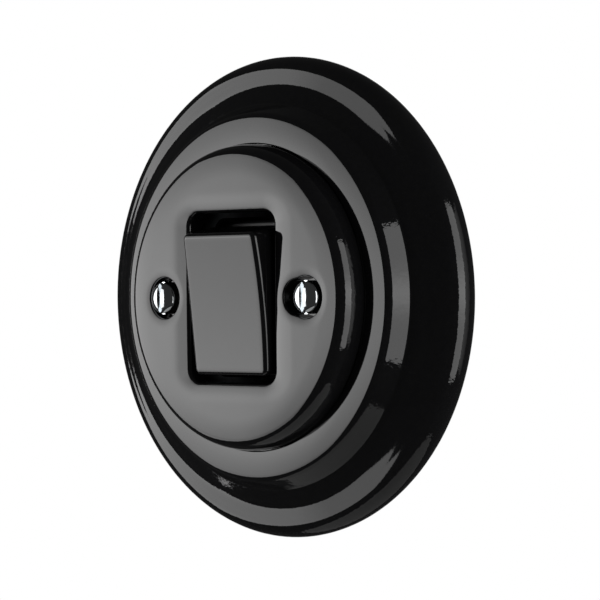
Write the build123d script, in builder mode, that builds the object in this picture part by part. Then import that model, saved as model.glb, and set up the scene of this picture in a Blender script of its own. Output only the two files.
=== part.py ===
from build123d import *
import math
import os

# Porcelain intermediate switch for flush mounting in a round wall box.
# The wall is the XZ plane, the switch faces -Y, and heights are measured from the wall towards the
# viewer. Negative heights lie inside the wall box. The origin is the middle of the mounting plate.

# Outer frame
frame_radius = 50.0
rim_middle = 3.03
rim_back_depth = 2.6
rim_front_depth = 3.45
rim_front_height = 3.65
rim_front_sweep = 71
crown_outer = (46.2, 6.98)
crown_inner = (44.05, 7.6)
cove_radius = 2.1
cove_slope = 24
wall_slope = 64
wall_foot = (39.76, 10.0)
ring_height = 14.2
ring_face_edge = (36.75, 13.96)
ring_edge_round = 2.0
ring_edge_slope = 5.5
ledge_height = 12.6
frame_hole_radius = 27.0
frame_wall = 4.0
hollow_roof = 4.1
hollow_foot_radius = 38.5
back_land_radius = 44.5
seat_gap = 0.25

# Cover
cover_radius = 31.5
cover_shoulder = (2.8, 4.0)
cover_shoulder_height = 19.65
cover_dome_height = 20.3
cover_inner_radius = 27.8
cover_inner_height = 16.1
opening_width = 24.6
opening_length = 35.2
opening_corner = 2.8
opening_dish = (7.5, 3.9)
opening_dish_corner = 6.8
opening_dish_depth = 0.9
opening_lip = 0.7
screw_reach = 20.75
screw_clearance = 0.4
screw_hole = (-20.0, 4.3)
slotted_hole = (21.1, 4.2)
slotted_hole_end = (18.4, 3.55)
slotted_hole_round = 1.0
screw_hole_lip = 0.3
slotted_hole_lip = 0.5
screw_seat_height = 17.5
boss_radius = 4.9
boss_height = 13.0

# Cover screws and their bushes
screw_head_radius = 3.4
screw_rim_height = 19.5
screw_dome_height = 21.0
screw_slot_width = 1.1
screw_slot_depth = 1.5
screw_radius = 1.5
screw_end_height = 6.0
bush_radius = 2.7
bush_top = 12.2
bush_foot = 4.6

# Rocker and its hinge
throw_angle = 15.4
rocker_tilt = math.radians(throw_angle / 2)
pivot_height = 10.6
rocker_width = 21.4
rocker_length = 29.2
rocker_face = 11.15
rocker_hollow_radius = 270.0
rocker_draft = 0.45
rocker_skirt = 3.5
rocker_wall = 1.6
rocker_roof = 2.0
rocker_edge = 0.9
rocker_corner = 1.3
rib_foot = 6.6
rib_reach = 5.5
rib_thickness = 1.4
peg_size = 5.0
peg_foot = 3.2
peg_play = 0.1
carrier_width = 15.2
carrier_length = 14.0
hub_radius = 2.8
axle_radius = 1.25
axle_length = 22.6
running_gap = 0.04

# Plungers
plunger_reach = 4.4
sleeve_radius = 3.0
sleeve_foot = 10.5
socket_radius = 1.9
socket_roof = 2.4
nose_radius = 1.5
nose_reach = 12.62
plunger_top = 6.2
spring_well_radius = 1.3
spring_well_foot = 9.8
spring_radius = 0.95
spring_wire = 0.2
spring_turns = 6

# Contact levers and conductors
lever_height = -5.2
lever_reach = 6.0
lever_width = 4.8
lever_half_length = 10.0
lever_middle = 1.6
lever_sheet = 0.9
lever_groove = 0.65
support_edge = 0.6
support_margin = 0.2
support_foot = 3.6
contact_reach = 8.2
contact_dome = 2.0
contact_stand = 0.7
contact_gap = 0.1
strip_thickness = 0.8
floor_height = -8.7
strip_width = 2.6
strip_run = 2.4
strip_play = 0.1
incoming_inset = 1.3
incoming_width = 2.0
incoming_link = (4.0, 2.0)
incoming_link_length = 5.0
outgoing_x = 13.8
pad_size = 4.6
dip_depth = 2.0
dip_length = 8.0
button_radius = 1.7
terminal_x = 15.8
terminal_z = 15.5
terminal_tab = (7.4, 6.4)
collar_radius = 2.4
collar_height = 2.6
clamp_height = -11.9
clamp_size = 5.6
clamp_thickness = 1.0
clamp_ridge = 0.8
clamp_lip = 0.6
terminal_head_radius = 2.5
terminal_head_height = 2.0
small_slot_width = 0.9
small_slot_depth = 0.9
hole_play = 0.1

# Mounting plate, housing and base
plate_thickness = 1.2
plate_recess = 0.3
recess_square = 43.0
plate_square = 70.0
plate_trim_radius = 42.0
box_screw_reach = 30.0
slot_width = 4.2
slot_length = 9.0
window_width = 19.0
window_length = 16.0
flange_top = 4.0
block_top = 11.2
block_width = 26.4
block_length = 32.0
well_width = 16.6
well_length = 16.6
cheek_outer = 11.2
base_square = 42.0
base_foot = -22.0
chamber_width = 22.6
chamber_length = 23.8
base_corner = 5.0
passage_centre = (12.2, 13.0)
passage_size = (6.4, 5.4)
pocket_width = 6.2
pocket_length = 9.2
pocket_shift = 1.5
flange_width = 42.0
flange_length = 34.0
ear_radius = 3.7
housing_screw_x = 16.5
housing_screw_z = 6.0
housing_screw_radius = 1.4
housing_screw_bite = 7.0
housing_head_radius = 2.4
housing_head_height = 1.5


def facing(height):
    """Plane parallel to the wall at a height above it: x to the right, y up."""
    return Plane.XZ.offset(height)


def side_view(height, tilt, x=0.0):
    """Plane across a hinge axis: x runs up the tilted piece, y out of the wall."""
    up = (0, -math.sin(tilt), math.cos(tilt))
    return Plane(origin=(x, -height, 0), x_dir=up, z_dir=(1, 0, 0))


def tilted_facing(height, tilt, lift, x=0.0):
    """Plane parallel to a tilted piece's face, lifted off its hinge axis."""
    out = (0, -math.cos(tilt), -math.sin(tilt))
    return Plane(origin=(x, -height, 0), x_dir=(1, 0, 0), z_dir=out).offset(lift)


def turning_section(x=0.0, height=0.0, tilt=0.0):
    """Half section of a turned piece: x is its radius, y its height along the turning axis."""
    down = (0, math.sin(tilt), -math.cos(tilt))
    return Plane(origin=(x, -height, 0), x_dir=(1, 0, 0), z_dir=down)


def turning_axis(x=0.0, height=0.0, tilt=0.0):
    """Axis of a turned piece, pointing out of the wall."""
    return Axis(origin=(x, -height, 0), direction=(0, -math.cos(tilt), -math.sin(tilt)))


def away(slope):
    """Direction in a half section that stands square on a surface falling outward at a slope."""
    return Vector(math.sin(math.radians(slope)), math.cos(math.radians(slope)))


def save(piece, name):
    piece.part.label = name
    export_step(piece.part, f"parts/{name}.step")


os.makedirs("parts", exist_ok=True)
sides = {"left": -1, "right": 1}

# Outer frame: one porcelain ring, hollow at the back, with a ledge that the cover sits on
with BuildPart() as outer_frame:
    with BuildSketch(turning_section()):
        with BuildLine():
            rim_back = EllipticalCenterArc(
                (frame_radius - rim_back_depth, rim_middle), rim_back_depth, rim_middle, -90, arc_size=90
            )
            rim_front = EllipticalCenterArc(
                (frame_radius - rim_front_depth, rim_middle),
                rim_front_depth,
                rim_front_height,
                0,
                arc_size=rim_front_sweep,
            )
            cove_centre = Vector(wall_foot) + cove_radius * away(wall_slope)
            cove_end = cove_centre - cove_radius * away(cove_slope)
            Spline(
                rim_front @ 1,
                crown_outer,
                crown_inner,
                cove_end,
                tangents=[rim_front % 1, away(cove_slope + 270)],
            )
            cove = CenterArc(cove_centre, cove_radius, 270 - cove_slope, cove_slope - wall_slope)
            edge_centre = Vector(ring_face_edge) - ring_edge_round * away(ring_edge_slope)
            edge = CenterArc(edge_centre, ring_edge_round, 90 - wall_slope, wall_slope - ring_edge_slope)
            Line(cove @ 1, edge @ 0)
            face = TangentArc(edge @ 1, (cover_radius + seat_gap, ring_height), tangent=edge % 1)
            Polyline(
                face @ 1,
                (cover_radius + seat_gap, ledge_height),
                (frame_hole_radius, ledge_height),
                (frame_hole_radius, ledge_height - frame_wall),
                (ring_face_edge[0] - 2, ledge_height - frame_wall),
                (hollow_foot_radius, hollow_roof),
                (back_land_radius, hollow_roof),
                (back_land_radius, 0),
                rim_back @ 0,
            )
        make_face()
    revolve(axis=Axis.Y)
    ledge_edges = outer_frame.edges().filter_by(GeomType.CIRCLE)
    mouth = ledge_edges.filter_by(lambda e: abs(e.radius - cover_radius - seat_gap) < 0.01)
    fillet(mouth.sort_by(Axis.Y)[0], 0.3)
save(outer_frame, "outer_frame")

# Cover: a shallow porcelain cap, dished round the rocker's opening, with a plain hole for the left
# screw and a slotted one for the right
with BuildPart() as cover:
    with BuildSketch(turning_section()):
        with BuildLine():
            shoulder_width, shoulder_height = cover_shoulder
            wall = Line((cover_radius, ledge_height), (cover_radius, cover_shoulder_height - shoulder_height))
            shoulder = EllipticalCenterArc(
                (cover_radius - shoulder_width, cover_shoulder_height - shoulder_height),
                shoulder_width,
                shoulder_height,
                0,
                arc_size=90,
            )
            dome = Spline(shoulder @ 1, (0, cover_dome_height), tangents=[(-1, 0.04), (-1, 0)])
            Polyline(
                dome @ 1,
                (0, cover_inner_height),
                (cover_inner_radius, cover_inner_height),
                (cover_inner_radius, ledge_height),
                wall @ 0,
            )
        make_face()
    revolve(axis=Axis.Y)
    with BuildSketch(facing(boss_height)):
        with Locations((-screw_reach, 0), (screw_reach, 0)):
            Circle(boss_radius)
    extrude(amount=cover_inner_height - boss_height)
    with BuildSketch(facing(cover_dome_height - opening_dish_depth)):
        RectangleRounded(opening_width, opening_length, opening_corner)
    dish_width = opening_width + 2 * opening_dish[0]
    dish_length = opening_length + 2 * opening_dish[1]
    with BuildSketch(facing(cover_dome_height)):
        RectangleRounded(dish_width, dish_length, opening_dish_corner)
    loft(mode=Mode.SUBTRACT)
    with BuildSketch(facing(boss_height)):
        RectangleRounded(opening_width, opening_length, opening_corner)
    extrude(amount=cover_dome_height, mode=Mode.SUBTRACT)
    lip_height = cover_dome_height - opening_dish_depth
    level = cover.edges().filter_by(lambda e: abs(e.center().Y + lip_height) < 0.01)
    fillet(level.filter_by(lambda e: abs(e.center().X) < opening_width), opening_lip)
    with BuildSketch(facing(screw_seat_height)) as screw_holes:
        for x, radius in (screw_hole, slotted_hole, slotted_hole_end):
            with Locations((x, 0)):
                Circle(radius)
        notches = screw_holes.vertices().filter_by(lambda v: slotted_hole_end[0] - 1 < v.X < slotted_hole[0])
        fillet(notches.filter_by(lambda v: abs(v.Z) > 1), slotted_hole_round)
    extrude(amount=cover_dome_height, mode=Mode.SUBTRACT)
    for sign, lip in ((-1, screw_hole_lip), (1, slotted_hole_lip)):
        upper = cover.edges().filter_by(lambda e: e.center().Y < -screw_rim_height + 0.5)
        beside = upper.filter_by(lambda e: abs(sign * e.center().X - screw_reach) < 2 * screw_head_radius)
        fillet(beside.filter_by(lambda e: abs(e.center().Z) < screw_hole[1]), lip)
    with BuildSketch(facing(boss_height)):
        with Locations((-screw_reach, 0), (screw_reach, 0)):
            Circle(screw_radius + screw_clearance)
    extrude(amount=cover_dome_height, mode=Mode.SUBTRACT)
save(cover, "cover")

# Cover screws: chromed, raised slotted heads, slots upright; each turns into a threaded brass bush
for side, sign in sides.items():
    x = sign * screw_reach
    with BuildPart() as cover_screw:
        with BuildSketch(turning_section(x)):
            with BuildLine():
                rise = Line((screw_head_radius, screw_seat_height), (screw_head_radius, screw_rim_height))
                dome = Spline(rise @ 1, (0, screw_dome_height), tangents=[(-0.35, 1), (-1, 0)])
                Polyline(
                    dome @ 1,
                    (0, screw_end_height),
                    (screw_radius, screw_end_height),
                    (screw_radius, screw_seat_height),
                    rise @ 0,
                )
            make_face()
        revolve(axis=turning_axis(x))
        with BuildSketch(facing(screw_dome_height - screw_slot_depth)):
            with Locations((x, 0)):
                Rectangle(screw_slot_width, 3 * screw_head_radius)
        extrude(amount=2 * screw_slot_depth, mode=Mode.SUBTRACT)
        chamfer(cover_screw.edges().filter_by(GeomType.CIRCLE).sort_by(Axis.Y)[-1], 0.4)
    save(cover_screw, f"cover_screw_{side}")

    with BuildPart() as screw_bush:
        with BuildSketch(facing(bush_foot)):
            with Locations((x, 0)):
                Circle(bush_radius)
                Circle(screw_radius, mode=Mode.SUBTRACT)
        extrude(amount=bush_top - bush_foot)
        chamfer(screw_bush.edges().filter_by(GeomType.CIRCLE).sort_by(Axis.Y)[0:2], 0.25)
    save(screw_bush, f"screw_bush_{side}")

# Rocker: a moulded cap with a hollowed face, drawn with its top edge out
with BuildPart() as rocker:
    half = rocker_length / 2
    face_end = rocker_face + rocker_hollow_radius - math.sqrt(rocker_hollow_radius**2 - half**2)
    foot_half = half + rocker_draft
    with BuildSketch(side_view(pivot_height, rocker_tilt)):
        with BuildLine():
            face = ThreePointArc((-half, face_end), (0, rocker_face), (half, face_end))
            Polyline(face @ 1, (foot_half, rocker_skirt), (-foot_half, rocker_skirt), face @ 0)
        make_face()
    extrude(amount=rocker_width / 2 + rocker_draft, both=True)
    for sign in sides.values():
        with BuildSketch(tilted_facing(pivot_height, rocker_tilt, 0)):
            with Locations((sign * (rocker_width / 2 + rocker_draft + rocker_wall), 0)):
                Rectangle(2 * rocker_wall, 2 * rocker_length)
        lean = math.degrees(math.atan(rocker_draft / (face_end - rocker_skirt)))
        extrude(amount=face_end + 2, taper=-lean, mode=Mode.SUBTRACT)
    inner_x = rocker_width / 2 - rocker_wall
    with BuildSketch(tilted_facing(pivot_height, rocker_tilt, rocker_skirt)):
        Rectangle(2 * inner_x, rocker_length - 2 * rocker_wall)
    extrude(amount=rocker_face - rocker_roof - rocker_skirt, mode=Mode.SUBTRACT)
    with BuildSketch(tilted_facing(pivot_height, rocker_tilt, rib_foot)):
        with Locations((0, -rib_reach), (0, rib_reach)):
            Rectangle(2 * inner_x, rib_thickness)
    extrude(amount=rocker_face - rocker_wall - rib_foot)
    with BuildSketch(tilted_facing(pivot_height, rocker_tilt, peg_foot)):
        Rectangle(peg_size, peg_size)
    extrude(amount=rocker_face - rocker_wall - peg_foot)
    out = Vector(0, -math.cos(rocker_tilt), -math.sin(rocker_tilt))
    corners = rocker.edges().filter_by(lambda e: abs(e.center().X) > rocker_width / 2 - 0.6)
    upright = corners.filter_by(lambda e: abs(e.tangent_at(0.5).dot(out)) > 0.9)
    fillet(upright, rocker_corner)
    rim_edges = rocker.faces().sort_by(Axis(origin=(0, 0, 0), direction=tuple(out)))[-1].outer_wire().edges()
    fillet(rim_edges, rocker_edge)
save(rocker, "rocker")

# Carrier: the moulded driver that the cap is pegged to, with a sleeve for each plunger
with BuildPart() as rocker_carrier:
    with BuildSketch(side_view(pivot_height, rocker_tilt)):
        with Locations((0, rib_foot / 2)):
            Rectangle(carrier_length, rib_foot)
        Circle(hub_radius)
    extrude(amount=carrier_width / 2, both=True)
    with BuildSketch(tilted_facing(pivot_height, rocker_tilt, -sleeve_foot)):
        with Locations((-plunger_reach, 0), (plunger_reach, 0)):
            Circle(sleeve_radius)
    extrude(amount=sleeve_foot)
    with BuildSketch(tilted_facing(pivot_height, rocker_tilt, -sleeve_foot)):
        with Locations((-plunger_reach, 0), (plunger_reach, 0)):
            Circle(socket_radius)
    extrude(amount=sleeve_foot - socket_roof, mode=Mode.SUBTRACT)
    with BuildSketch(tilted_facing(pivot_height, rocker_tilt, peg_foot - 2 * peg_play)):
        Rectangle(peg_size + peg_play, peg_size + peg_play)
    extrude(amount=rib_foot, mode=Mode.SUBTRACT)
    with BuildSketch(side_view(pivot_height, rocker_tilt)):
        Circle(axle_radius)
    extrude(amount=carrier_width, both=True, mode=Mode.SUBTRACT)
    ends = rocker_carrier.edges().filter_by(Axis.X).group_by(Axis.Z)
    fillet(ends[0] + ends[-1], 0.8)
save(rocker_carrier, "rocker_carrier")

# Axle pin
with BuildPart() as rocker_axle:
    with BuildSketch(side_view(pivot_height, rocker_tilt)):
        Circle(axle_radius)
    extrude(amount=axle_length / 2, both=True)
    chamfer(rocker_axle.edges().filter_by(GeomType.CIRCLE), 0.2)
save(rocker_axle, "rocker_axle")

# Plungers: round-nosed and hollow, each on its own compression spring
for side, sign in sides.items():
    x = sign * plunger_reach
    shank = socket_radius - running_gap
    with BuildPart() as plunger:
        with BuildSketch(turning_section(x, pivot_height, rocker_tilt)):
            with BuildLine():
                nose = CenterArc((0, -nose_reach), nose_radius, 270, 90)
                Polyline(
                    nose @ 1,
                    (nose_radius, -nose_reach + 0.4),
                    (shank, -nose_reach + 0.4 + shank - nose_radius),
                    (shank, -plunger_top),
                    (spring_well_radius, -plunger_top),
                    (spring_well_radius, -spring_well_foot),
                    (0, -spring_well_foot),
                    nose @ 0,
                )
            make_face()
        revolve(axis=turning_axis(x, pivot_height, rocker_tilt))
    save(plunger, f"plunger_{side}")

    spring_height = spring_well_foot - socket_roof - 2 * spring_wire
    foot = tilted_facing(pivot_height, rocker_tilt, -spring_well_foot + spring_wire, x)
    with BuildPart() as plunger_spring:
        with BuildLine():
            coil = Helix(
                pitch=spring_height / spring_turns,
                height=spring_height,
                radius=spring_radius,
                center=foot.origin,
                direction=foot.z_dir,
            )
        with BuildSketch(Plane(origin=coil @ 0, z_dir=coil % 0)):
            Circle(spring_wire)
        sweep(path=coil, is_frenet=True)
    save(plunger_spring, f"plunger_spring_{side}")

# Contact levers: each rocks on the rounded edge of its support
for side, sign in sides.items():
    x = sign * lever_reach
    with BuildPart() as contact_lever:
        with BuildSketch(side_view(lever_height, -rocker_tilt, x)):
            with BuildLine():
                Polyline(
                    (-lever_half_length, 0),
                    (lever_half_length, 0),
                    (lever_half_length, lever_sheet),
                    (0.65 * lever_half_length, lever_sheet),
                    (0.5 * lever_half_length, lever_middle),
                    (-0.5 * lever_half_length, lever_middle),
                    (-0.65 * lever_half_length, lever_sheet),
                    (-lever_half_length, lever_sheet),
                    close=True,
                )
            make_face()
            Circle(lever_groove, mode=Mode.SUBTRACT)
        extrude(amount=lever_width / 2, both=True)
        for end in (-1, 1):
            with BuildSketch(side_view(lever_height, -rocker_tilt, x)):
                with Locations((end * contact_reach, contact_dome - contact_stand)):
                    Circle(contact_dome)
                with Locations((0, contact_dome)):
                    Rectangle(4 * lever_half_length, 2 * contact_dome, mode=Mode.SUBTRACT)
                with Locations((end * (contact_reach - contact_dome), 0)):
                    Rectangle(2 * contact_dome, 4 * contact_dome, mode=Mode.SUBTRACT)
            button_axis = turning_axis(x, lever_height, -rocker_tilt)
            offset_up = end * contact_reach
            shift = Vector(0, math.sin(rocker_tilt), math.cos(rocker_tilt)) * offset_up
            revolve(axis=Axis(origin=button_axis.position + shift, direction=button_axis.direction))
    save(contact_lever, f"contact_lever_{side}")

# Lever supports: upright edges for the levers, each on the foot of its incoming conductor
for side, sign in sides.items():
    x = sign * lever_reach
    run_x = sign * (chamber_width / 2 - incoming_inset)
    terminal = (sign * terminal_x, -terminal_z)
    with BuildPart() as lever_support:
        with BuildSketch(side_view(0, 0, x)):
            with Locations((0, lever_height)):
                Circle(support_edge)
            with Locations((0, (floor_height + lever_height) / 2)):
                Rectangle(2 * support_edge, lever_height - floor_height)
        extrude(amount=lever_width / 2 - support_margin, both=True)
        with BuildSketch(facing(floor_height)):
            with Locations(((x + run_x) / 2, 0)):
                Rectangle(abs(run_x - x) + strip_run, support_foot)
            with Locations((run_x, -terminal_z / 2)):
                Rectangle(incoming_width, terminal_z)
            with Locations(terminal):
                Rectangle(*terminal_tab)
            with Locations((sign * (terminal_x - incoming_link[0]), incoming_link[1] - terminal_z)):
                Rectangle(incoming_link_length, strip_run)
        extrude(amount=strip_thickness)
        with BuildSketch(facing(floor_height)):
            with Locations(terminal):
                Circle(collar_radius)
        extrude(amount=collar_height)
        with BuildSketch(facing(floor_height)):
            with Locations(terminal):
                Circle(screw_radius)
        extrude(amount=collar_height, mode=Mode.SUBTRACT)
    save(lever_support, f"lever_support_{side}")

# Crossover strips: each joins an upper contact to the lower contact on the other side, and the
# second dips under the first in the middle of the chamber
contact_low = lever_height - contact_reach * math.sin(rocker_tilt)
contact_low += (contact_dome - contact_stand) * math.cos(rocker_tilt) - contact_dome
half_run = math.hypot(lever_reach, contact_reach)
branch_z = contact_reach + (pad_size - strip_run) / 2


def diagonal(sign):
    """Plane on edge along one diagonal of the contacts: x along it, y out of the wall."""
    along = Vector(sign * lever_reach, 0, contact_reach)
    return Plane(origin=(0, 0, 0), x_dir=along, z_dir=along.cross(Vector(0, -1, 0)))


for level, (sign, dip) in {"upper": (-1, 0), "lower": (1, dip_depth)}.items():
    upper_pad = (sign * lever_reach, contact_reach)
    lower_pad = (-sign * lever_reach, -contact_reach)
    terminal = (sign * terminal_x, terminal_z)
    with BuildPart() as crossover_strip:
        with BuildSketch(diagonal(sign)):
            with Locations((0, floor_height + strip_thickness / 2)):
                Rectangle(2 * half_run, strip_thickness)
            if dip:
                with Locations((0, floor_height + strip_thickness / 2 - dip / 2)):
                    Rectangle(dip_length, strip_thickness + dip)
                with Locations((0, floor_height + strip_thickness)):
                    Rectangle(dip_length - 2 * strip_thickness, 2 * dip, mode=Mode.SUBTRACT)
        extrude(amount=strip_width / 2, both=True)
        with BuildSketch(facing(floor_height)):
            with Locations(upper_pad, lower_pad):
                Rectangle(pad_size, pad_size)
            with Locations((sign * (lever_reach + outgoing_x) / 2, branch_z)):
                Rectangle(outgoing_x - lever_reach + strip_run, strip_run)
            with Locations((sign * outgoing_x, (contact_reach + terminal_z) / 2)):
                Rectangle(strip_run, terminal_z - contact_reach)
            with Locations(terminal):
                Rectangle(*terminal_tab)
        extrude(amount=strip_thickness)
        with BuildSketch(facing(floor_height)):
            with Locations(terminal):
                Circle(collar_radius)
        extrude(amount=collar_height)
        with BuildSketch(facing(floor_height)):
            with Locations(terminal):
                Circle(screw_radius)
        extrude(amount=collar_height, mode=Mode.SUBTRACT)
        with BuildSketch(facing(floor_height)):
            with Locations(upper_pad, lower_pad):
                Circle(button_radius)
        extrude(amount=contact_low - contact_gap - floor_height)
    save(crossover_strip, f"crossover_strip_{level}")

# Terminals: a steel screw from the back of the base, with a clamping plate under its head
corners = {"upper_left": (-1, 1), "upper_right": (1, 1), "lower_left": (-1, -1), "lower_right": (1, -1)}
for corner, (across, up) in corners.items():
    centre = (across * terminal_x, up * terminal_z)
    with BuildPart() as terminal_clamp:
        with BuildSketch(facing(clamp_height)):
            with Locations(centre):
                RectangleRounded(clamp_size, clamp_size, clamp_ridge)
                Circle(screw_radius + hole_play, mode=Mode.SUBTRACT)
        extrude(amount=-clamp_thickness)
        with BuildSketch(facing(clamp_height)):
            for way in (-1, 1):
                with Locations((centre[0], centre[1] + way * (clamp_size - clamp_ridge) / 2)):
                    Rectangle(clamp_size - 2 * clamp_ridge, clamp_ridge)
        extrude(amount=clamp_lip)
    save(terminal_clamp, f"terminal_clamp_{corner}")

    with BuildPart() as terminal_screw:
        with BuildSketch(facing(clamp_height - clamp_thickness)):
            with Locations(centre):
                Circle(terminal_head_radius)
        extrude(amount=-terminal_head_height)
        chamfer(terminal_screw.edges().filter_by(GeomType.CIRCLE).sort_by(Axis.Y)[-1], 0.3)
        with BuildSketch(facing(clamp_height - clamp_thickness)):
            with Locations(centre):
                Circle(screw_radius)
        extrude(amount=floor_height + collar_height - clamp_height + clamp_thickness)
        with BuildSketch(facing(clamp_height - clamp_thickness - terminal_head_height)):
            with Locations(centre):
                Rectangle(3 * terminal_head_radius, small_slot_width)
        extrude(amount=small_slot_depth, mode=Mode.SUBTRACT)
    save(terminal_screw, f"terminal_screw_{corner}")

# Mounting plate: pressed steel, a square trimmed to a circle, with slots for the box screws and a
# shallow seat for the base in its back
with BuildPart() as mounting_plate:
    with BuildSketch(facing(0)):
        RectangleRounded(plate_square, plate_square, 4)
        Circle(plate_trim_radius, mode=Mode.INTERSECT)
        RectangleRounded(window_width, window_length, 2, mode=Mode.SUBTRACT)
        with Locations((-box_screw_reach, 0), (box_screw_reach, 0)):
            SlotOverall(slot_length, slot_width, mode=Mode.SUBTRACT)
        with Locations((0, -box_screw_reach), (0, box_screw_reach)):
            SlotOverall(slot_length, slot_width, rotation=90, mode=Mode.SUBTRACT)
        with GridLocations(2 * housing_screw_x, 2 * housing_screw_z, 2, 2):
            Circle(housing_screw_radius + hole_play, mode=Mode.SUBTRACT)
    extrude(amount=plate_thickness)
    with BuildSketch(facing(0)):
        RectangleRounded(recess_square, recess_square, base_corner)
    extrude(amount=plate_recess, mode=Mode.SUBTRACT)
    sheet_edges = mounting_plate.faces().sort_by(Axis.Y)[0].outer_wire().edges()
    fillet(sheet_edges, 0.3)
save(mounting_plate, "mounting_plate")

# Housing: the front moulding, with the rocker well, its two bearing cheeks and the screw ears
with BuildPart() as mechanism_housing:
    with BuildSketch(facing(plate_thickness)):
        RectangleRounded(flange_width, flange_length, 3)
        SlotCenterToCenter(2 * screw_reach, 2 * ear_radius)
    extrude(amount=flange_top - plate_thickness)
    with BuildSketch(facing(plate_thickness)):
        RectangleRounded(block_width, block_length, 2)
    extrude(amount=block_top - plate_thickness)
    shoulders = mechanism_housing.faces().sort_by(Axis.Y)[0].outer_wire().edges()
    fillet(shoulders, 0.8)
    with BuildSketch(facing(plate_thickness)):
        with Locations((-screw_reach, 0), (screw_reach, 0)):
            Circle(ear_radius)
    extrude(amount=bush_top - plate_thickness)
    with BuildSketch(side_view(pivot_height, 0)):
        Circle(hub_radius)
        with Locations((0, (block_top - pivot_height - hub_radius) / 2)):
            Rectangle(2 * hub_radius, block_top - pivot_height + hub_radius)
    extrude(amount=cheek_outer, both=True)
    with BuildSketch(facing(plate_thickness)):
        RectangleRounded(well_width, well_length, 1)
    extrude(amount=2 * block_top, mode=Mode.SUBTRACT)
    with BuildSketch(side_view(pivot_height, 0)):
        Circle(axle_radius + running_gap)
    extrude(amount=cheek_outer + 0.3, both=True, mode=Mode.SUBTRACT)
    with BuildSketch(facing(bush_foot)):
        with Locations((-screw_reach, 0), (screw_reach, 0)):
            Circle(bush_radius)
    extrude(amount=bush_top, mode=Mode.SUBTRACT)
    with BuildSketch(facing(plate_thickness)):
        with GridLocations(2 * housing_screw_x, 2 * housing_screw_z, 2, 2):
            Circle(housing_screw_radius + hole_play)
    extrude(amount=block_top, mode=Mode.SUBTRACT)
save(mechanism_housing, "mechanism_housing")

# Base: the rear moulding, with the contact chamber in front and four terminal pockets behind
with BuildPart() as switch_base:
    with BuildSketch(facing(base_foot)):
        RectangleRounded(base_square, base_square, base_corner)
    extrude(amount=plate_recess - base_foot)
    fillet(switch_base.faces().sort_by(Axis.Y)[-1].outer_wire().edges(), 0.8)
    with BuildSketch(facing(floor_height)):
        Rectangle(chamber_width, chamber_length)
        with Locations((0, branch_z)):
            Rectangle(2 * outgoing_x + strip_run + 2 * strip_play, strip_run + 2 * strip_play)
        with GridLocations(2 * terminal_x, 2 * terminal_z, 2, 2):
            Rectangle(terminal_tab[0] + 2 * strip_play, terminal_tab[1] + 2 * strip_play)
        with GridLocations(2 * passage_centre[0], 2 * passage_centre[1], 2, 2):
            Rectangle(*passage_size)
    extrude(amount=plate_recess - floor_height, mode=Mode.SUBTRACT)
    with BuildSketch(diagonal(1)):
        with Locations((0, floor_height - dip_depth / 2)):
            Rectangle(dip_length + strip_play, dip_depth)
    extrude(amount=strip_width / 2 + strip_play, both=True, mode=Mode.SUBTRACT)
    with BuildSketch(facing(base_foot)):
        with GridLocations(2 * terminal_x, 2 * (terminal_z + pocket_shift), 2, 2):
            Rectangle(pocket_width, pocket_length)
    extrude(amount=floor_height - base_foot, mode=Mode.SUBTRACT)
    with BuildSketch(facing(-housing_screw_bite)):
        with GridLocations(2 * housing_screw_x, 2 * housing_screw_z, 2, 2):
            Circle(housing_screw_radius)
    extrude(amount=housing_screw_bite + plate_recess, mode=Mode.SUBTRACT)
save(switch_base, "switch_base")

# Housing screws: four, from the front through housing and plate into the base
for corner, (across, up) in corners.items():
    centre = (across * housing_screw_x, up * housing_screw_z)
    with BuildPart() as housing_screw:
        with BuildSketch(facing(-housing_screw_bite)):
            with Locations(centre):
                Circle(housing_screw_radius)
        extrude(amount=housing_screw_bite + flange_top)
        with BuildSketch(facing(flange_top)):
            with Locations(centre):
                Circle(housing_head_radius)
        extrude(amount=housing_head_height)
        fillet(housing_screw.edges().filter_by(GeomType.CIRCLE).sort_by(Axis.Y)[0], 0.6)
        with BuildSketch(facing(flange_top + housing_head_height - small_slot_depth)):
            with Locations(centre):
                Rectangle(small_slot_width, 3 * housing_head_radius)
        extrude(amount=housing_head_height, mode=Mode.SUBTRACT)
    save(housing_screw, f"housing_screw_{corner}")
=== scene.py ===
import math

import bmesh
import bpy
import numpy as np
from mathutils import Matrix, Vector
from mathutils.geometry import delaunay_2d_cdt


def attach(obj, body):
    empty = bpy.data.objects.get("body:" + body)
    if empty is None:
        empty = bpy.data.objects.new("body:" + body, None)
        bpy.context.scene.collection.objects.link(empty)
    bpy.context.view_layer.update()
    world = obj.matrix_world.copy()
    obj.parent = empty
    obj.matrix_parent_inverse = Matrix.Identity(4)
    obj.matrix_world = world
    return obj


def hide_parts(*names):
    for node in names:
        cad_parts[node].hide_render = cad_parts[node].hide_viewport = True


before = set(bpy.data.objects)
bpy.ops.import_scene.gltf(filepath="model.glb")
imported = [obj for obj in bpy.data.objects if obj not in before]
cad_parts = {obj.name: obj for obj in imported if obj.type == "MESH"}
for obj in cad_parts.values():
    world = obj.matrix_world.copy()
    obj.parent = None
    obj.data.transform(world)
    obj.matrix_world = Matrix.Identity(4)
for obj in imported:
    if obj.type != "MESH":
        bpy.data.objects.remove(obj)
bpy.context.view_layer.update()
scene = bpy.context.scene

# Camera: a long lens level with the switch and 44 degrees round to its right, as in a catalogue
# picture. The switch hangs in front of it as it would on a wall, facing -Y.
MM = 0.001
FOCAL_PIXELS = 2680.0
DISTANCE = 565 * MM
TURN, RISE, ROLL = math.radians(43.8), math.radians(0.17), math.radians(-0.53)
LOOK_ASIDE, LOOK_DOWN = 0.295 * MM, -0.654 * MM

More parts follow.
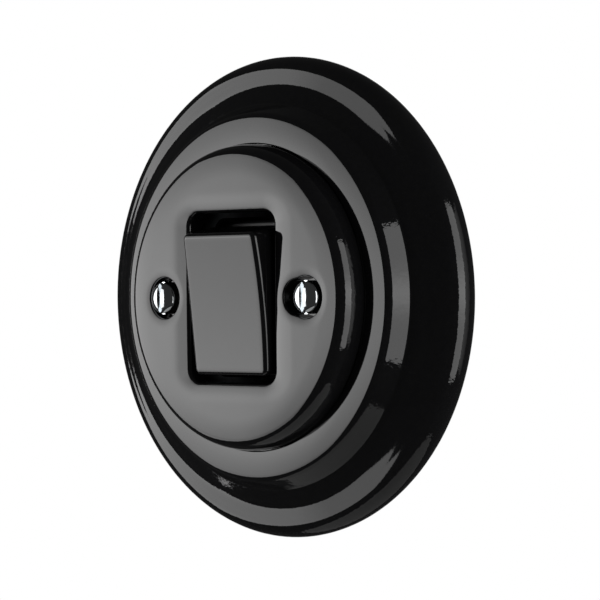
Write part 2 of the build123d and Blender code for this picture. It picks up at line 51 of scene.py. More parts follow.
back = Vector((math.sin(TURN) * math.cos(RISE), -math.cos(TURN) * math.cos(RISE), math.sin(RISE)))
level = Vector((math.cos(TURN), math.sin(TURN), 0))
upright = back.cross(level)
right = level * math.cos(ROLL) + upright * math.sin(ROLL)
up = upright * math.cos(ROLL) - level * math.sin(ROLL)
lens = bpy.data.cameras.new("camera")
lens.sensor_width = 36
lens.lens = lens.sensor_width * FOCAL_PIXELS / 600
lens.clip_start, lens.clip_end = 0.05, 20
camera = bpy.data.objects.new("camera", lens)
camera.matrix_world = Matrix((right, up, back)).transposed().to_4x4()
camera.location = back * DISTANCE + right * LOOK_ASIDE + up * LOOK_DOWN
scene.collection.objects.link(camera)
scene.camera = camera
scene.view_settings.view_transform = "Standard"


# Mounting plate: pressed sheet steel, zinc plated and clear passivated, which the two box screws pull
# against the wall. The plating is cloudy, with a fine rolled grain under it.
def linear(code):
    """Linear colour of an sRGB hex code: c / 12.92 below 0.04045, else ((c + 0.055) / 1.055) ^ 2.4."""
    c = np.array([int(code[i : i + 2], 16) for i in (0, 2, 4)]) / 255
    return (*np.where(c <= 0.04045, c / 12.92, ((c + 0.055) / 1.055) ** 2.4), 1.0)


def node(owner, kind, settings=None, stops=(), **sockets):
    """Adds a node: settings are its attributes, stops the (place, hex) pairs of a colour ramp, and
    sockets its inputs, each a value or an output to link."""
    tree = owner.node_tree
    made = tree.nodes.new(kind)
    for name, value in (settings or {}).items():
        setattr(made, name, value)
    for number, (place, code) in enumerate(stops):
        made.color_ramp.elements[number].position = place
        made.color_ramp.elements[number].color = linear(code)
    for name, value in sockets.items():
        socket = made.inputs[int(name[1:]) if name[1:].isdigit() else name.replace("_", " ")]
        if isinstance(value, bpy.types.NodeSocket):
            tree.links.new(value, socket)
        else:
            socket.default_value = value
    return made


def new_material(name):
    """Material of this name with no nodes yet."""
    material = bpy.data.materials.new(name)
    material.use_nodes = True
    material.node_tree.nodes.clear()
    return material


def metal(name, dull, bright, smooth, rough, grain_mm):
    """Metal skin: two tones in cloudy 6 mm patches, and a fine grain that scatters its roughness."""
    m = new_material(name)
    place = node(m, "ShaderNodeTexCoord").outputs["Object"]
    cloud = node(m, "ShaderNodeTexNoise", Vector=place, Scale=1000 / 6, Detail=3.0)
    grain = node(m, "ShaderNodeTexNoise", Vector=place, Scale=1000 / grain_mm, Detail=3.0)
    two_tones = (0.35, dull), (0.65, bright)
    tone = node(m, "ShaderNodeValToRGB", stops=two_tones, Fac=cloud.outputs["Fac"])
    sheen = node(m, "ShaderNodeMapRange", Value=grain.outputs["Fac"], _3=smooth, _4=rough)
    bump = node(m, "ShaderNodeBump", Height=grain.outputs["Fac"], Distance=0.01 * MM, Strength=0.3)
    skin = node(
        m, "ShaderNodeBsdfPrincipled", Base_Color=tone.outputs["Color"], Metallic=1.0,
        Roughness=sheen.outputs["Result"], Normal=bump.outputs["Normal"],
    )
    node(m, "ShaderNodeOutputMaterial", Surface=skin.outputs["BSDF"])
    return m


def dress(material, *names):
    """Gives the CAD nodes of these names a material."""
    for name in names:
        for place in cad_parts[name].material_slots:
            place.material = material


dress(metal("zinc_plated_sheet", "8f9499", "b4b9bd", 0.22, 0.5, 0.5), "mounting_plate")

# Base: a moulding of pale urea resin, held to the plate from the front. It has a satin skin off a
# spark-eroded tool and faint flow marks.
def moulding(name, deep, pale, smooth, rough, skin_mm, skin_height):
    """Dull skin of IOR 1.5, as on moulded resin or paper: slow marks 12 mm across and a fine grain."""
    m = new_material(name)
    place = node(m, "ShaderNodeTexCoord").outputs["Object"]
    flow = node(m, "ShaderNodeTexNoise", Vector=place, Scale=1000 / 12, Detail=2.0, Distortion=1.5)
    grain = node(m, "ShaderNodeTexNoise", Vector=place, Scale=1000 / skin_mm, Detail=3.0)
    two_tones = (0.35, deep), (0.7, pale)
    tone = node(m, "ShaderNodeValToRGB", stops=two_tones, Fac=flow.outputs["Fac"])
    sheen = node(m, "ShaderNodeMapRange", Value=grain.outputs["Fac"], _3=smooth, _4=rough)
    bump = node(m, "ShaderNodeBump", Height=grain.outputs["Fac"], Distance=skin_height * MM, Strength=0.6)
    skin = node(
        m, "ShaderNodeBsdfPrincipled", Base_Color=tone.outputs["Color"], Roughness=sheen.outputs["Result"],
        IOR=1.5, Normal=bump.outputs["Normal"],
    )
    node(m, "ShaderNodeOutputMaterial", Surface=skin.outputs["BSDF"])
    return m


dress(moulding("pale_urea_resin", "c3bca9", "cfc9b8", 0.32, 0.5, 0.3, 0.02), "switch_base")

# Conductors: pressed brass. The two incoming strips carry the rocking levers; the two outgoing ones
# cross in the chamber. Bright where it was cut, a little brown where it was handled.
brass = metal("pressed_brass", "b08a45", "d2b06a", 0.16, 0.36, 0.35)
dress(brass, "lever_support_left", "lever_support_right", "crossover_strip_upper", "crossover_strip_lower")
dress(brass, "contact_lever_left", "contact_lever_right")

# Terminals: a turned steel screw and a pressed clamping plate in each corner pocket of the base, both
# plated with bright zinc. The screw draws the plate down on the wire.
bright_steel = metal("bright_zinc_steel", "9a9da0", "bfc2c4", 0.15, 0.34, 0.25)
for corner in ("upper_left", "upper_right", "lower_left", "lower_right"):
    dress(bright_steel, f"terminal_screw_{corner}", f"terminal_clamp_{corner}")

# Carrier: the moulded driver under the rocker, on its steel axle, with a sprung plunger in each of
# its sleeves. Natural nylon, slightly waxy.
nylon = moulding("natural_nylon", "d3cbb4", "ddd6c3", 0.35, 0.48, 0.25, 0.012)
dress(nylon, "rocker_carrier", "plunger_left", "plunger_right")
dress(bright_steel, "rocker_axle")
spring_wire = metal("drawn_spring_wire", "77797b", "97999b", 0.2, 0.38, 0.15)
dress(spring_wire, "plunger_spring_left", "plunger_spring_right")

# Housing: the black front moulding with the rocker's well, screwed to the base through the plate. A
# brass bush is pressed into each of its ears for the cover screws.
dress(moulding("black_resin", "0c0c0d", "131314", 0.38, 0.55, 0.3, 0.02), "mechanism_housing")
for corner in ("upper_left", "upper_right", "lower_left", "lower_right"):
    dress(bright_steel, f"housing_screw_{corner}")
dress(brass, "screw_bush_left", "screw_bush_right")

# Outer frame: a pressed and turned porcelain ring, glazed black all over but for its back edge. The
# wet glaze pulls the clay's steps into soft rolls; it lies smooth on the flats and dries with an
# orange-peel ripple where it ran, on the rim, the crown and the steep wall.
def black_glaze(name, peel_height, flat_height, pinholes):
    """Glossy feldspar glaze, IOR 1.5: deep black, with a ripple 1.1 mm across that grows where
    1 - |n.y| goes from 0.01 to 0.12, a slow wave of 11 mm, and pinholes 1.7 mm apart."""
    m = new_material(name)
    spot = node(m, "ShaderNodeTexCoord")
    place = spot.outputs["Object"]
    facing = node(m, "ShaderNodeSeparateXYZ", _0=spot.outputs["Normal"]).outputs["Y"]
    flat = node(m, "ShaderNodeMath", {"operation": "ABSOLUTE"}, _0=facing).outputs[0]
    sloped = node(m, "ShaderNodeMapRange", Value=flat, _1=0.99, _2=0.88, _3=flat_height, _4=peel_height)
    peel = node(m, "ShaderNodeTexNoise", Vector=place, Scale=1000 / 1.1, Detail=2.5, Roughness=0.6)
    slow = node(m, "ShaderNodeTexNoise", Vector=place, Scale=1000 / 11, Detail=2.0, Roughness=0.4)
    speck = node(m, "ShaderNodeTexVoronoi", Vector=place, Scale=1000 / 1.7)
    two_blacks = (0.3, "101011"), (0.75, "141415")
    colour = node(m, "ShaderNodeValToRGB", stops=two_blacks, Fac=peel.outputs["Fac"])
    sheen = node(m, "ShaderNodeMapRange", Value=slow.outputs["Fac"], _3=0.03, _4=0.055)
    times = {"operation": "MULTIPLY"}
    height = node(m, "ShaderNodeMath", times, _0=peel.outputs["Fac"], _1=sloped.outputs["Result"])
    wave = node(m, "ShaderNodeBump", Height=slow.outputs["Fac"], Distance=0.012 * MM, Strength=1.0)
    ripple = node(
        m, "ShaderNodeBump", Height=height.outputs[0], Distance=MM, Strength=1.0,
        Normal=wave.outputs["Normal"],
    )
    pits = node(m, "ShaderNodeMapRange", Value=speck.outputs["Distance"], _1=0.0, _2=0.09, _3=0.0, _4=1.0)
    bump = node(
        m, "ShaderNodeBump", Height=pits.outputs["Result"], Distance=0.004 * MM, Strength=pinholes,
        Normal=ripple.outputs["Normal"],
    )
    skin = node(
        m, "ShaderNodeBsdfPrincipled", Base_Color=colour.outputs["Color"],
        Roughness=sheen.outputs["Result"], IOR=1.5, Normal=bump.outputs["Normal"],
    )
    node(m, "ShaderNodeOutputMaterial", Surface=skin.outputs["BSDF"])
    return m


glaze = black_glaze("black_glaze", 0.03, 0.0015, 0.2)


def away(slope):
    """Direction square on a surface that falls outward at a slope: (sin, cos)."""
    return np.array((math.sin(math.radians(slope)), math.cos(math.radians(slope))))


def arc(centre, wide, high, start, stop, count):
    """Points (x + wide cos a, y + high sin a) from one angle to another in degrees, ends included."""
    a = np.radians(np.linspace(start, stop, count))
    return np.array(centre) + np.column_stack((wide * np.cos(a), high * np.sin(a)))


def smooth_run(points, start, stop, count):
    """Cubic Hermite run through points: tangents are the chords of the neighbours, the end tangents
    are given, and each stretch is 2t3-3t2+1, t3-2t2+t, -2t3+3t2, t3-t2."""
    p = np.array(points, float)
    m = np.gradient(p, axis=0)
    m[0] = np.array(start) * np.linalg.norm(p[1] - p[0])
    m[-1] = np.array(stop) * np.linalg.norm(p[-1] - p[-2])
    t = np.linspace(0, len(p) - 1, count)
    i = np.minimum(t.astype(int), len(p) - 2)
    t = (t - i)[:, None]
    a, b = 2 * t**3 - 3 * t**2 + 1, t**3 - 2 * t**2 + t
    c, d = -2 * t**3 + 3 * t**2, t**3 - t**2
    return a * p[i] + b * m[i] + c * p[i + 1] + d * m[i + 1]


def straight(points, step):
    """Points about a step apart along a line through corners, each corner included."""
    out = [np.array(points[:1], float)]
    for a, b in zip(np.array(points[:-1], float), np.array(points[1:], float)):
        count = max(1, round(float(np.linalg.norm(b - a)) / step))
        out.append(a + (b - a) * (np.arange(1, count + 1) / count)[:, None])
    return np.vstack(out)


def smoothed(mesh):
    """Gives a mesh smooth shading, with a crease where faces meet at more than 40 degrees."""
    mesh.shade_smooth()
    mesh.set_sharp_from_angle(angle=math.radians(40))
    return mesh


def solid_mesh(name, points, faces):
    """Smooth mesh from points in millimetres."""
    mesh = bpy.data.meshes.new(name)
    mesh.from_pydata((points.reshape(-1, 3) * MM).tolist(), [], faces)
    return smoothed(mesh)


def add_piece(name, mesh, material, body, slot, *replaced):
    """Links a mesh and says what it rides on, which finish it has and which CAD nodes it stands for."""
    piece = bpy.data.objects.new(name, mesh)
    scene.collection.objects.link(piece)
    mesh.materials.append(material)
    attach(piece, body)
    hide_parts(*replaced)
    return piece


def turned(profile, steps):
    """Ring turned about the Y axis: (r, h) at angle a goes to (r cos a, -h, r sin a), closed both ways."""
    a = np.linspace(0, 2 * math.pi, steps, endpoint=False)
    r, h = np.array(profile).T[:, :, None]
    points = np.stack((r * np.cos(a), -h + 0 * a, r * np.sin(a)), -1)
    i, j = np.meshgrid(np.arange(len(r)), np.arange(steps), indexing="ij")
    i2, j2 = (i + 1) % len(r), (j + 1) % steps
    faces = np.stack((i * steps + j, i2 * steps + j, i2 * steps + j2, i * steps + j2), -1)
    return points, faces.reshape(-1, 4).tolist()


rim_radius, rim_middle, rim_sweep = 50.35, 3.92, 72
rim_wide, rim_high, rim_back_wide = 3.35, 3.76, 2.9
rim_back = arc((rim_radius - rim_back_wide, rim_middle), rim_back_wide, rim_middle, -90, 0, 18)
rim_front = arc((rim_radius - rim_wide, rim_middle), rim_wide, rim_high, 0, rim_sweep, 28)
rim_run = np.array((-rim_wide, rim_high)) * away(rim_sweep)
wall_slope, cove_slope, cove_radius, wall_foot = 60, 21, 0.8, (40.1, 10.12)
cove_centre = np.array(wall_foot) + cove_radius * away(wall_slope)
cove_end = cove_centre - cove_radius * away(cove_slope)
crown_outer, crown_middle, crown_inner = (46.2, 7.92), (44.1, 8.38), (42.2, 9.13)
crown = smooth_run(
    [rim_front[-1], crown_outer, crown_middle, crown_inner, cove_end],
    rim_run / np.linalg.norm(rim_run), away(cove_slope - 90), 44,
)
cove = arc(cove_centre, cove_radius, cove_radius, 270 - cove_slope, 270 - wall_slope, 16)
ring_height, ring_edge, ring_round, ring_slope = 14.2, (36.85, 13.95), 2.0, 5.5
edge_centre = np.array(ring_edge) - ring_round * away(ring_slope)
edge = arc(edge_centre, ring_round, ring_round, 90 - wall_slope, 90 - ring_slope, 22)
seat_radius, ledge_height, hole_radius, lip = 31.75, 12.6, 27.0, 0.3
web_back, web_radius, hollow_foot, land_radius = 8.6, 34.75, (38.5, 4.1), 44.5
face_r = np.linspace(ring_edge[0], seat_radius + 0.35, 14)[1:]
face_fall = (ring_height - ring_edge[1]) / (ring_edge[0] - seat_radius) ** 2
face = np.column_stack((face_r, ring_height - face_fall * (face_r - seat_radius) ** 2))
mouth = arc((seat_radius + lip, ring_height - lip), lip, lip, 90, 180, 7)
hidden = straight([
    (seat_radius, ring_height - lip), (seat_radius, ledge_height), (hole_radius, ledge_height),
    (hole_radius, web_back), (web_radius, web_back), hollow_foot, (land_radius, hollow_foot[1]),
    (land_radius, 0.0), tuple(rim_back[0]),
], 1.6)
wall = straight([cove[-1], edge[0]], 0.3)
profile = np.vstack((
    rim_back, rim_front[1:], crown[1:], cove[1:], wall[1:-1], edge, face, mouth, hidden[1:-1],
))
around_steps = 400
frame_mesh = solid_mesh("porcelain_frame", *turned(profile, around_steps))
add_piece("porcelain_frame", frame_mesh, glaze, "fixed", "black_glaze", "outer_frame")

# Cover: a thin pressed porcelain cap on the ring's ledge. Its face is slightly domed and sinks in a
# soft dish to the opening; the left screw has a round hole and the right one a slotted hole, which
# takes up the shrinkage of the firing. The glaze softens every edge.
def rounded_loop(half, corner, side_steps, corner_steps):
    """Rounded rectangle, anticlockwise from the right side: quarter circles joined by straight runs."""
    a = np.radians(np.linspace(0, 90, corner_steps, endpoint=False))
    quarter = np.column_stack((np.cos(a), np.sin(a))) * corner
    t = np.linspace(0, 1, side_steps, endpoint=False)[:, None]
    quarter_turn = np.array(((0, 1), (-1, 0)))
    out = []
    for k in range(4):
        w, h = np.roll(half, k) - corner
        side_run = np.array((w, h + corner)) * (1 - t) + np.array((-w, h + corner)) * t
        out.append(np.vstack((quarter + (w, h), side_run)) @ np.linalg.matrix_power(quarter_turn, k))
    return np.vstack(out)


def circle_loop(cx, r, steps):
    """Circle about (cx, 0), anticlockwise from its right: (cx + r cos a, r sin a)."""
    a = np.linspace(0, 2 * math.pi, steps, endpoint=False)
    return np.column_stack((cx + r * np.cos(a), r * np.sin(a)))


def inside_loop(points, loop):
    """True where a point lies in a closed loop, by counting the loop's crossings to its right."""
    x, y = points[:, 0:1], points[:, 1:2]
    x1, y1 = loop.T
    x2, y2 = np.roll(loop, -1, 0).T
    crosses = (y1 > y) != (y2 > y)
    at = x1 + (y - y1) * (x2 - x1) / np.where(y2 == y1, 1e-12, y2 - y1)
    return (crosses & (x < at)).sum(1) % 2 == 1


def sheet_between(outer, holes, rings, clear, spacing):
    """Triangles over the region within one loop and outside others, with rings of points and a
    triangular lattice between them wherever clear(x, y) is true."""
    loops = [outer] + holes
    edges, start = [], 0
    for loop in loops:
        i = np.arange(len(loop))
        edges.append(np.column_stack((i, (i + 1) % len(loop))) + start)
        start += len(loop)
    span = np.abs(outer).max(0)
    rows = np.arange(-span[1], span[1], spacing * math.sqrt(3) / 2)
    gx, gy = np.meshgrid(np.arange(-span[0], span[0], spacing), rows)
    gx = gx + (np.arange(len(rows)) % 2)[:, None] * spacing / 2
    keep = clear(gx, gy)
    flat = np.vstack(loops + rings + [np.column_stack((gx[keep], gy[keep]))])
    made = delaunay_2d_cdt([Vector(p) for p in flat.tolist()], np.vstack(edges).tolist(), [], 0, 1e-7)
    where = np.array([v[:] for v in made[0]])
    tris = np.array([f for f in made[2] if len(f) == 3])
    middle = where[tris].mean(1)
    keep = inside_loop(middle, outer)
    for hole in holes:
        keep &= ~inside_loop(middle, hole)
    return where, tris[keep]


def nowhere(x, y):
    """True for no point, which leaves the lattice out."""
    return np.zeros(np.shape(x), bool)


def at_height(loop, height):
    """Loop seen from the front put at a height above the wall: (x, y) goes to (x, -height, y)."""
    return np.column_stack((loop[:, 0], -height + 0 * loop[:, 0], loop[:, 1]))


def lofted(loops):
    """Quads between successive loops of equal length."""
    points = np.array(loops)
    rows, n = points.shape[:2]
    i, j = np.meshgrid(np.arange(rows - 1), np.arange(n), indexing="ij")
    k = (j + 1) % n
    faces = np.stack((i * n + j, i * n + k, (i + 1) * n + k, (i + 1) * n + j), -1).reshape(-1, 4)
    return points.reshape(-1, 3), faces


def joined(name, patches):
    """One closed mesh from (points, faces) patches whose shared borders have the same points."""
    start, points, faces = 0, [], []
    for where, polygons in patches:
        points.append(where)
        faces += (np.asarray(polygons) + start).tolist()
        start += len(where)
    mesh = solid_mesh(name, np.vstack(points), faces)
    work = bmesh.new()
    work.from_mesh(mesh)
    bmesh.ops.remove_doubles(work, verts=work.verts, dist=0.002 * MM)
    bmesh.ops.recalc_face_normals(work, faces=work.faces)
    work.to_mesh(mesh)
    work.free()
    return smoothed(mesh)


cover_radius, dome_height, dome_drop, dome_radius = 31.65, 20.3, 0.35, 28.7
face_radius, bend_radius, bend = 28.96, 25.0, 0.0103
shoulder_middle, shoulder_round, face_slope, side_slope = (28.69, 17.3), 2.5, 6.2, 57
side_round, foot_slope, side_foot = 3.75, 77, 15.7
opening_middle = np.array((-0.35, 0.0))
inner_radius, ceiling, screw_reach, seat_height, boss_height = 27.8, 16.1, 20.75, 17.5, 13.0
shank_radius, boss_radius = 1.9, 4.9
opening_half, opening_corner = np.array((12.3, 17.6)), 2.8
dish_reach = opening_corner + np.array((5.6, 4.2))
holes = {-1: [(-20.0, 4.3)], 1: [(21.1, 4.2), (18.4, 3.55)]}
opening_roll, opening_slope = 1.0, 9.4
hole_roll, hole_slope, hole_dish, hole_steps = 0.5, 8.0, 2.3, 120


def soft_edge(d, width, roll, slope):
    """Drop at distance d from an edge: depth (1 - (d - j) / (width - j))^2 over the dish, then a roll of
    the edge's radius, which the dish meets at the slope, j = roll (1 - sin slope) from the edge."""
    lean = math.radians(slope)
    joint = roll * (1 - math.sin(lean))
    depth = math.tan(lean) * (width - joint) / 2
    dish = depth * (1 - (np.clip(d, joint, width) - joint) / (width - joint)) ** 2
    return dish + roll * (math.cos(lean) - np.sqrt(1 - (1 - np.clip(d, 0, joint) / roll) ** 2))


def from_opening(x, y):
    """Distance from the opening's wall, and the dish's width there, an ellipse round each corner."""
    across, upward = opening_half - opening_corner
    beyond_x = np.maximum(np.abs(x - opening_middle[0]) - across, 0)
    beyond_y = np.maximum(np.abs(y) - upward, 0)
    reach = np.hypot(beyond_x, beyond_y)
    share = np.hypot(beyond_x / dish_reach[0], beyond_y / dish_reach[1]) / np.maximum(reach, 1e-9)
    return reach - opening_corner, 1 / np.maximum(share, 1e-9) - opening_corner


def from_hole(x, y, circles):
    """Distance outside a union of circles, softened where they meet: -k ln(sum of e^(-d / k)), k = 0.3."""
    return -0.3 * np.log(sum(np.exp(-(np.hypot(x - cx, y) - r) / 0.3) for cx, r in circles))


def opening_loop(distance):
    """Outline of the opening, moved outwards by a distance."""
    return rounded_loop(opening_half + distance, opening_corner + distance, 48, 16) + opening_middle


def hole_loop(circles, distance):
    """Loop at a distance outside a hole, found along its radii by halving."""
    cx = sum(c for c, _ in circles) / len(circles)
    a = np.linspace(0, 2 * math.pi, hole_steps, endpoint=False)
    low, high = np.zeros(hole_steps), np.full(hole_steps, 12.0)
    for _ in range(40):
        r = (low + high) / 2
        within = from_hole(cx + r * np.cos(a), r * np.sin(a), circles) < distance
        low, high = np.where(within, r, low), np.where(within, high, r)
    return np.column_stack((cx + r * np.cos(a), r * np.sin(a)))


def cover_height(x, y):
    """Dome 20.3 - 0.35 (r / 28.7)^2 - 0.0103 (r - 25)^2 beyond r = 25, less the soft edges of the
    opening and of both screw holes."""
    r = np.hypot(x, y)
    h = dome_height - dome_drop * (r / dome_radius) ** 2 - bend * np.maximum(r - bend_radius, 0) ** 2
    h = h - soft_edge(*from_opening(x, y), opening_roll, opening_slope)
    for circles in holes.values():
        h = h - soft_edge(from_hole(x, y, circles), hole_dish, hole_roll, hole_slope)
    return h


def clear_face(x, y):
    """True on the open face, away from the rolled edges and the shoulder."""
    free = (np.hypot(x, y) < face_radius - 0.8) & (from_opening(x, y)[0] > 1.4)
    for circles in holes.values():
        free &= from_hole(x, y, circles) > 0.9
    return free


# Rings of points follow the rolled edges and the shoulder, and a lattice fills the open face.
face_spacing = 0.55
turn = 1 - np.sin(np.radians(np.linspace(90, 9, 13)))
rings = [opening_loop(d) for d in (*opening_roll * turn[1:], 1.1)]
for circles in holes.values():
    rings += [hole_loop(circles, d) for d in (*hole_roll * turn[1:], 0.6)]
rings += [circle_loop(0, face_radius - d, around_steps) for d in (0.2, 0.45)]
face_edge = circle_loop(0, face_radius, around_steps)
opening = opening_loop(0)
mouths = {hand: hole_loop(circles, 0) for hand, circles in holes.items()}
where, tris = sheet_between(face_edge, [opening, *mouths.values()], rings, clear_face, face_spacing)
patches = [(at_height(where, cover_height(*where.T)), tris)]
shoulder = arc(shoulder_middle, shoulder_round, shoulder_round, 90 - face_slope, 90 - side_slope, 20)
shoulder[0] = face_radius, cover_height(face_radius, 0.0)
side_middle = shoulder[-1] - side_round * away(side_slope)
side = arc(side_middle, side_round, side_round, 90 - side_slope, 90 - foot_slope, 12)
section = np.vstack((shoulder, side[1:], straight([
    side[-1], (cover_radius, side_foot), (cover_radius, ledge_height), (inner_radius, ledge_height),
    (inner_radius, ceiling),
], 1.2)[1:]))
patches.append(lofted([at_height(circle_loop(0, r, around_steps), h) for r, h in section]))
top = cover_height(*opening.T)
patches.append(lofted([at_height(opening, top + (ceiling - top) * t) for t in np.linspace(0, 1, 6)]))
bosses = []
for hand, mouth in mouths.items():
    top = cover_height(*mouth.T)
    shank, boss = (circle_loop(hand * screw_reach, r, hole_steps) for r in (shank_radius, boss_radius))
    patches.append(lofted([at_height(mouth, top + (seat_height - top) * t) for t in np.linspace(0, 1, 5)]))
    patches.append(lofted([
        at_height(mouth, seat_height), at_height(shank, seat_height), at_height(shank, boss_height),
        at_height(boss, boss_height), at_height(boss, ceiling),
    ]))
    bosses.append(boss)
ceiling_edge = circle_loop(0, inner_radius, around_steps)
where, tris = sheet_between(ceiling_edge, [opening] + bosses, [], nowhere, 9)
patches.append((at_height(where, ceiling), tris))
add_piece("porcelain_cover", joined("porcelain_cover", patches), glaze, "fixed", "black_glaze", "cover")

# Cover screws: turned steel with raised, slotted heads, polished and chromed. They pass through the
# cover's holes into the brass bushes, and their slots are left upright.
chrome = metal("polished_chrome", "c4c7c9", "cfd2d4", 0.05, 0.11, 0.6)
dress(chrome, "cover_screw_left", "cover_screw_right")

# Rocker: moulded in one shot with a slightly hollowed face and a little draft on its sides. The tool
# was polished, so it mirrors the room as the glaze does, without the ripple.
pivot_height, tilt = 10.6, math.radians(6.9)
rocker_half = np.array((10.88, 14.78))
rocker_face, hollow, draft, skirt, bow = 11.35, 240.0, 0.45, 3.5, 0.42
rocker_edge, rocker_corner, rocker_wall, rocker_roof = 1.1, 1.4, 1.6, 2.0


def tilted(loop, out):
    """Points of the rocker, y up its face and out of the wall from its pivot, turned top out. Its
    sides bow: x narrows by bow / 10.88 (y / 14.78)^2."""
    c, s = math.cos(tilt), math.sin(tilt)
    x, y = loop.T
    x = x * (1 - bow / rocker_half[0] * (y / rocker_half[1]) ** 2)
    return np.column_stack((x, -pivot_height - out * c - y * s, y * c - out * s))


def hollow_face(y):
    """Height of the face over the pivot: 11.35 + 240 - sqrt(240^2 - y^2), lowest half way up."""
    return rocker_face + hollow - np.sqrt(hollow**2 - y**2)


def rocker_loop(inset, share, drop):
    """Outline drawn in by an inset, a share of the way up from the skirt to the face, less a drop."""
    loop = rounded_loop(rocker_half - inset, max(rocker_corner - inset, 0.3), 40, 10)
    return tilted(loop, skirt + (hollow_face(loop[:, 1]) - drop - skirt) * share)


def clear_rocker(x, y):
    """True on the face, 0.4 mm or more from its edge roll."""
    reach_x, reach_y = rocker_half - rocker_edge - 0.4
    return (np.abs(x) < reach_x) & (np.abs(y) < reach_y)


sides = [rocker_loop(-draft * (1 - t), t, rocker_edge) for t in np.linspace(0, 1, 8)]
turn = np.radians(np.linspace(0, 90, 17))[1:]
sides += [rocker_loop(rocker_edge * (1 - math.cos(a)), 1, rocker_edge * (1 - math.sin(a))) for a in turn]
face_loop = rounded_loop(rocker_half - rocker_edge, rocker_corner - rocker_edge, 40, 10)
where, tris = sheet_between(face_loop, [], [], clear_rocker, 0.7)
inner = rounded_loop(rocker_half - rocker_wall, 0.5, 40, 10)
roof, roof_tris = sheet_between(inner, [], [], nowhere, 9)
patches = [
    lofted(sides), (tilted(where, hollow_face(where[:, 1])), tris),
    lofted([sides[0], tilted(inner, skirt), tilted(inner, rocker_face - rocker_roof)]),
    (tilted(roof, rocker_face - rocker_roof), roof_tris),
]
gloss = black_glaze("polished_black_resin", 0.002, 0.001, 0.0)
add_piece("rocker_cap", joined("rocker_cap", patches), gloss, "rocker", "rocker_black", "rocker")

# Studio: a pale paper floor well below the switch, a tall soft box to each side and a weak one behind
# on the right. Black glaze shows the lamps themselves, so their size and place draw its bright shapes.
paper = moulding("pale_paper", "e4e4e3", "ebebea", 0.8, 0.95, 0.8, 0.02)
floor_reach, floor_drop, floor_steps = 400, 600, 96
r = np.linspace(0, floor_reach, 9)[1:, None]
a = np.linspace(0, 2 * math.pi, floor_steps, endpoint=False)
floor_points, floor_faces = lofted(np.stack((r * np.cos(a), r * np.sin(a), 0 * r * a - floor_drop), -1))
middle = list(range(floor_steps - 1, -1, -1))
floor_mesh = solid_mesh("paper_floor", floor_points, floor_faces.tolist() + [middle])
floor_mesh.materials.append(paper)
floor = bpy.data.objects.new("paper_floor", floor_mesh)
scene.collection.objects.link(floor)


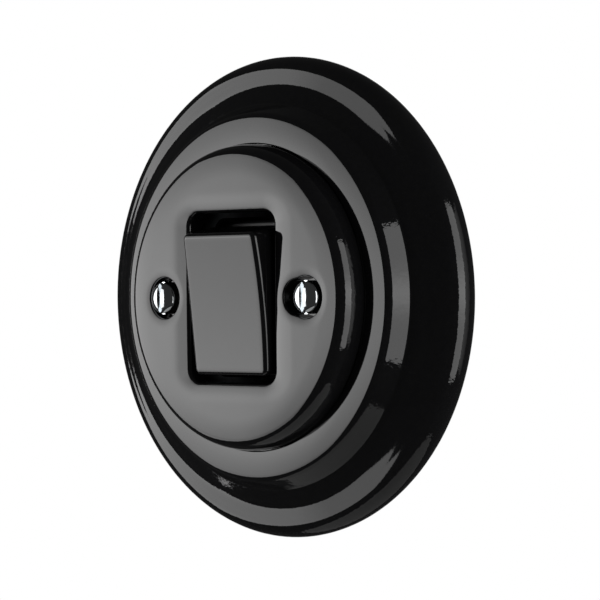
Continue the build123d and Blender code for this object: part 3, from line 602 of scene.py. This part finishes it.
def soft_box(name, bearing, elevation, width, height, radiance, glow=0.0, spread=1.0, side=(0.0, 1.0, 1.0)):
    """Area lamp 0.9 m off, facing the switch, at a bearing from straight in front, positive to the
    right: a flat radiance plus a glow across it that fades up and down as e^(-(v - 0.5)^2 / 2 spread^2),
    times a share that falls from 1 to side[2] between side[0] and side[1] of its width."""
    b, e = math.radians(bearing), math.radians(elevation)
    towards = Vector((math.sin(b) * math.cos(e), -math.cos(b) * math.cos(e), math.sin(e)))
    lamp = bpy.data.lights.new(name, "AREA")
    lamp.shape = "RECTANGLE"
    lamp.size = width
    lamp.size_y = height
    lamp.energy = math.pi * width * height
    lamp.use_nodes = True
    lamp.node_tree.nodes.clear()
    spot = node(lamp, "ShaderNodeNewGeometry").outputs["Parametric"]
    across = node(lamp, "ShaderNodeSeparateXYZ", _0=spot).outputs
    times, times_plus = {"operation": "MULTIPLY"}, {"operation": "MULTIPLY_ADD"}
    off = node(lamp, "ShaderNodeMath", times_plus, _0=across["Y"], _1=1 / spread, _2=-0.5 / spread)
    square = node(lamp, "ShaderNodeMath", times, _0=off.outputs[0], _1=off.outputs[0])
    fade = node(lamp, "ShaderNodeMath", times, _0=square.outputs[0], _1=-0.5)
    bell = node(lamp, "ShaderNodeMath", {"operation": "EXPONENT"}, _0=fade.outputs[0])
    strength = node(lamp, "ShaderNodeMath", times_plus, _0=bell.outputs[0], _1=glow, _2=radiance)
    share = node(lamp, "ShaderNodeMapRange", Value=across["X"], _1=side[0], _2=side[1], _3=1.0, _4=side[2])
    dimmed = node(lamp, "ShaderNodeMath", times, _0=strength.outputs[0], _1=share.outputs["Result"])
    light = node(lamp, "ShaderNodeEmission", Strength=dimmed.outputs[0])
    node(lamp, "ShaderNodeOutputLight", Surface=light.outputs[0])
    box = bpy.data.objects.new(name, lamp)
    box.matrix_world = (-towards).to_track_quat("-Z", "Y").to_matrix().to_4x4()
    box.location = 0.9 * towards
    scene.collection.objects.link(box)


soft_box(
    "left_box", bearing=-46.9, elevation=-1.2, width=0.724, height=0.98, radiance=2.1, glow=2.2,
    spread=0.115, side=(0.564, 0.704, 0.75),
)
soft_box(
    "right_box", bearing=90, elevation=1.5, width=0.65, height=1.25, radiance=2.15, glow=1.2, spread=0.082,
)
soft_box(
    "rear_box", bearing=125, elevation=2, width=0.48, height=1.0, radiance=0.7, side=(0.0, 1.0, 0.17),
)

# Background: a white sheet behind the switch. The camera sees it, and so does a polished or clear
# surface that looks past the switch to within 20 degrees of straight back; the rest of the room is dark.
world = bpy.data.worlds.new("studio")
scene.world = world
world.use_nodes = True
world.node_tree.nodes.clear()
ray = node(world, "ShaderNodeLightPath").outputs
outward = node(world, "ShaderNodeTexCoord").outputs["Generated"]
dot, more, larger = ({"operation": name} for name in ("DOT_PRODUCT", "GREATER_THAN", "MAXIMUM"))
along = node(world, "ShaderNodeVectorMath", dot, _0=outward, _1=-back).outputs["Value"]
sheet = node(world, "ShaderNodeMath", more, _0=along, _1=math.cos(math.radians(20)))
shiny = node(world, "ShaderNodeMath", larger, _0=ray["Is Glossy Ray"], _1=ray["Is Transmission Ray"])
seen = node(
    world, "ShaderNodeMath", {"operation": "MULTIPLY_ADD"}, _0=shiny.outputs[0], _1=sheet.outputs[0],
    _2=ray["Is Camera Ray"],
)
dark = node(world, "ShaderNodeBackground", Color=(1, 1, 1, 1), Strength=0.035)
white = node(world, "ShaderNodeBackground", Color=(1, 1, 1, 1), Strength=1.0)
mix = node(world, "ShaderNodeMixShader", _0=seen.outputs[0], _1=dark.outputs[0], _2=white.outputs[0])
node(world, "ShaderNodeOutputWorld", Surface=mix.outputs[0])
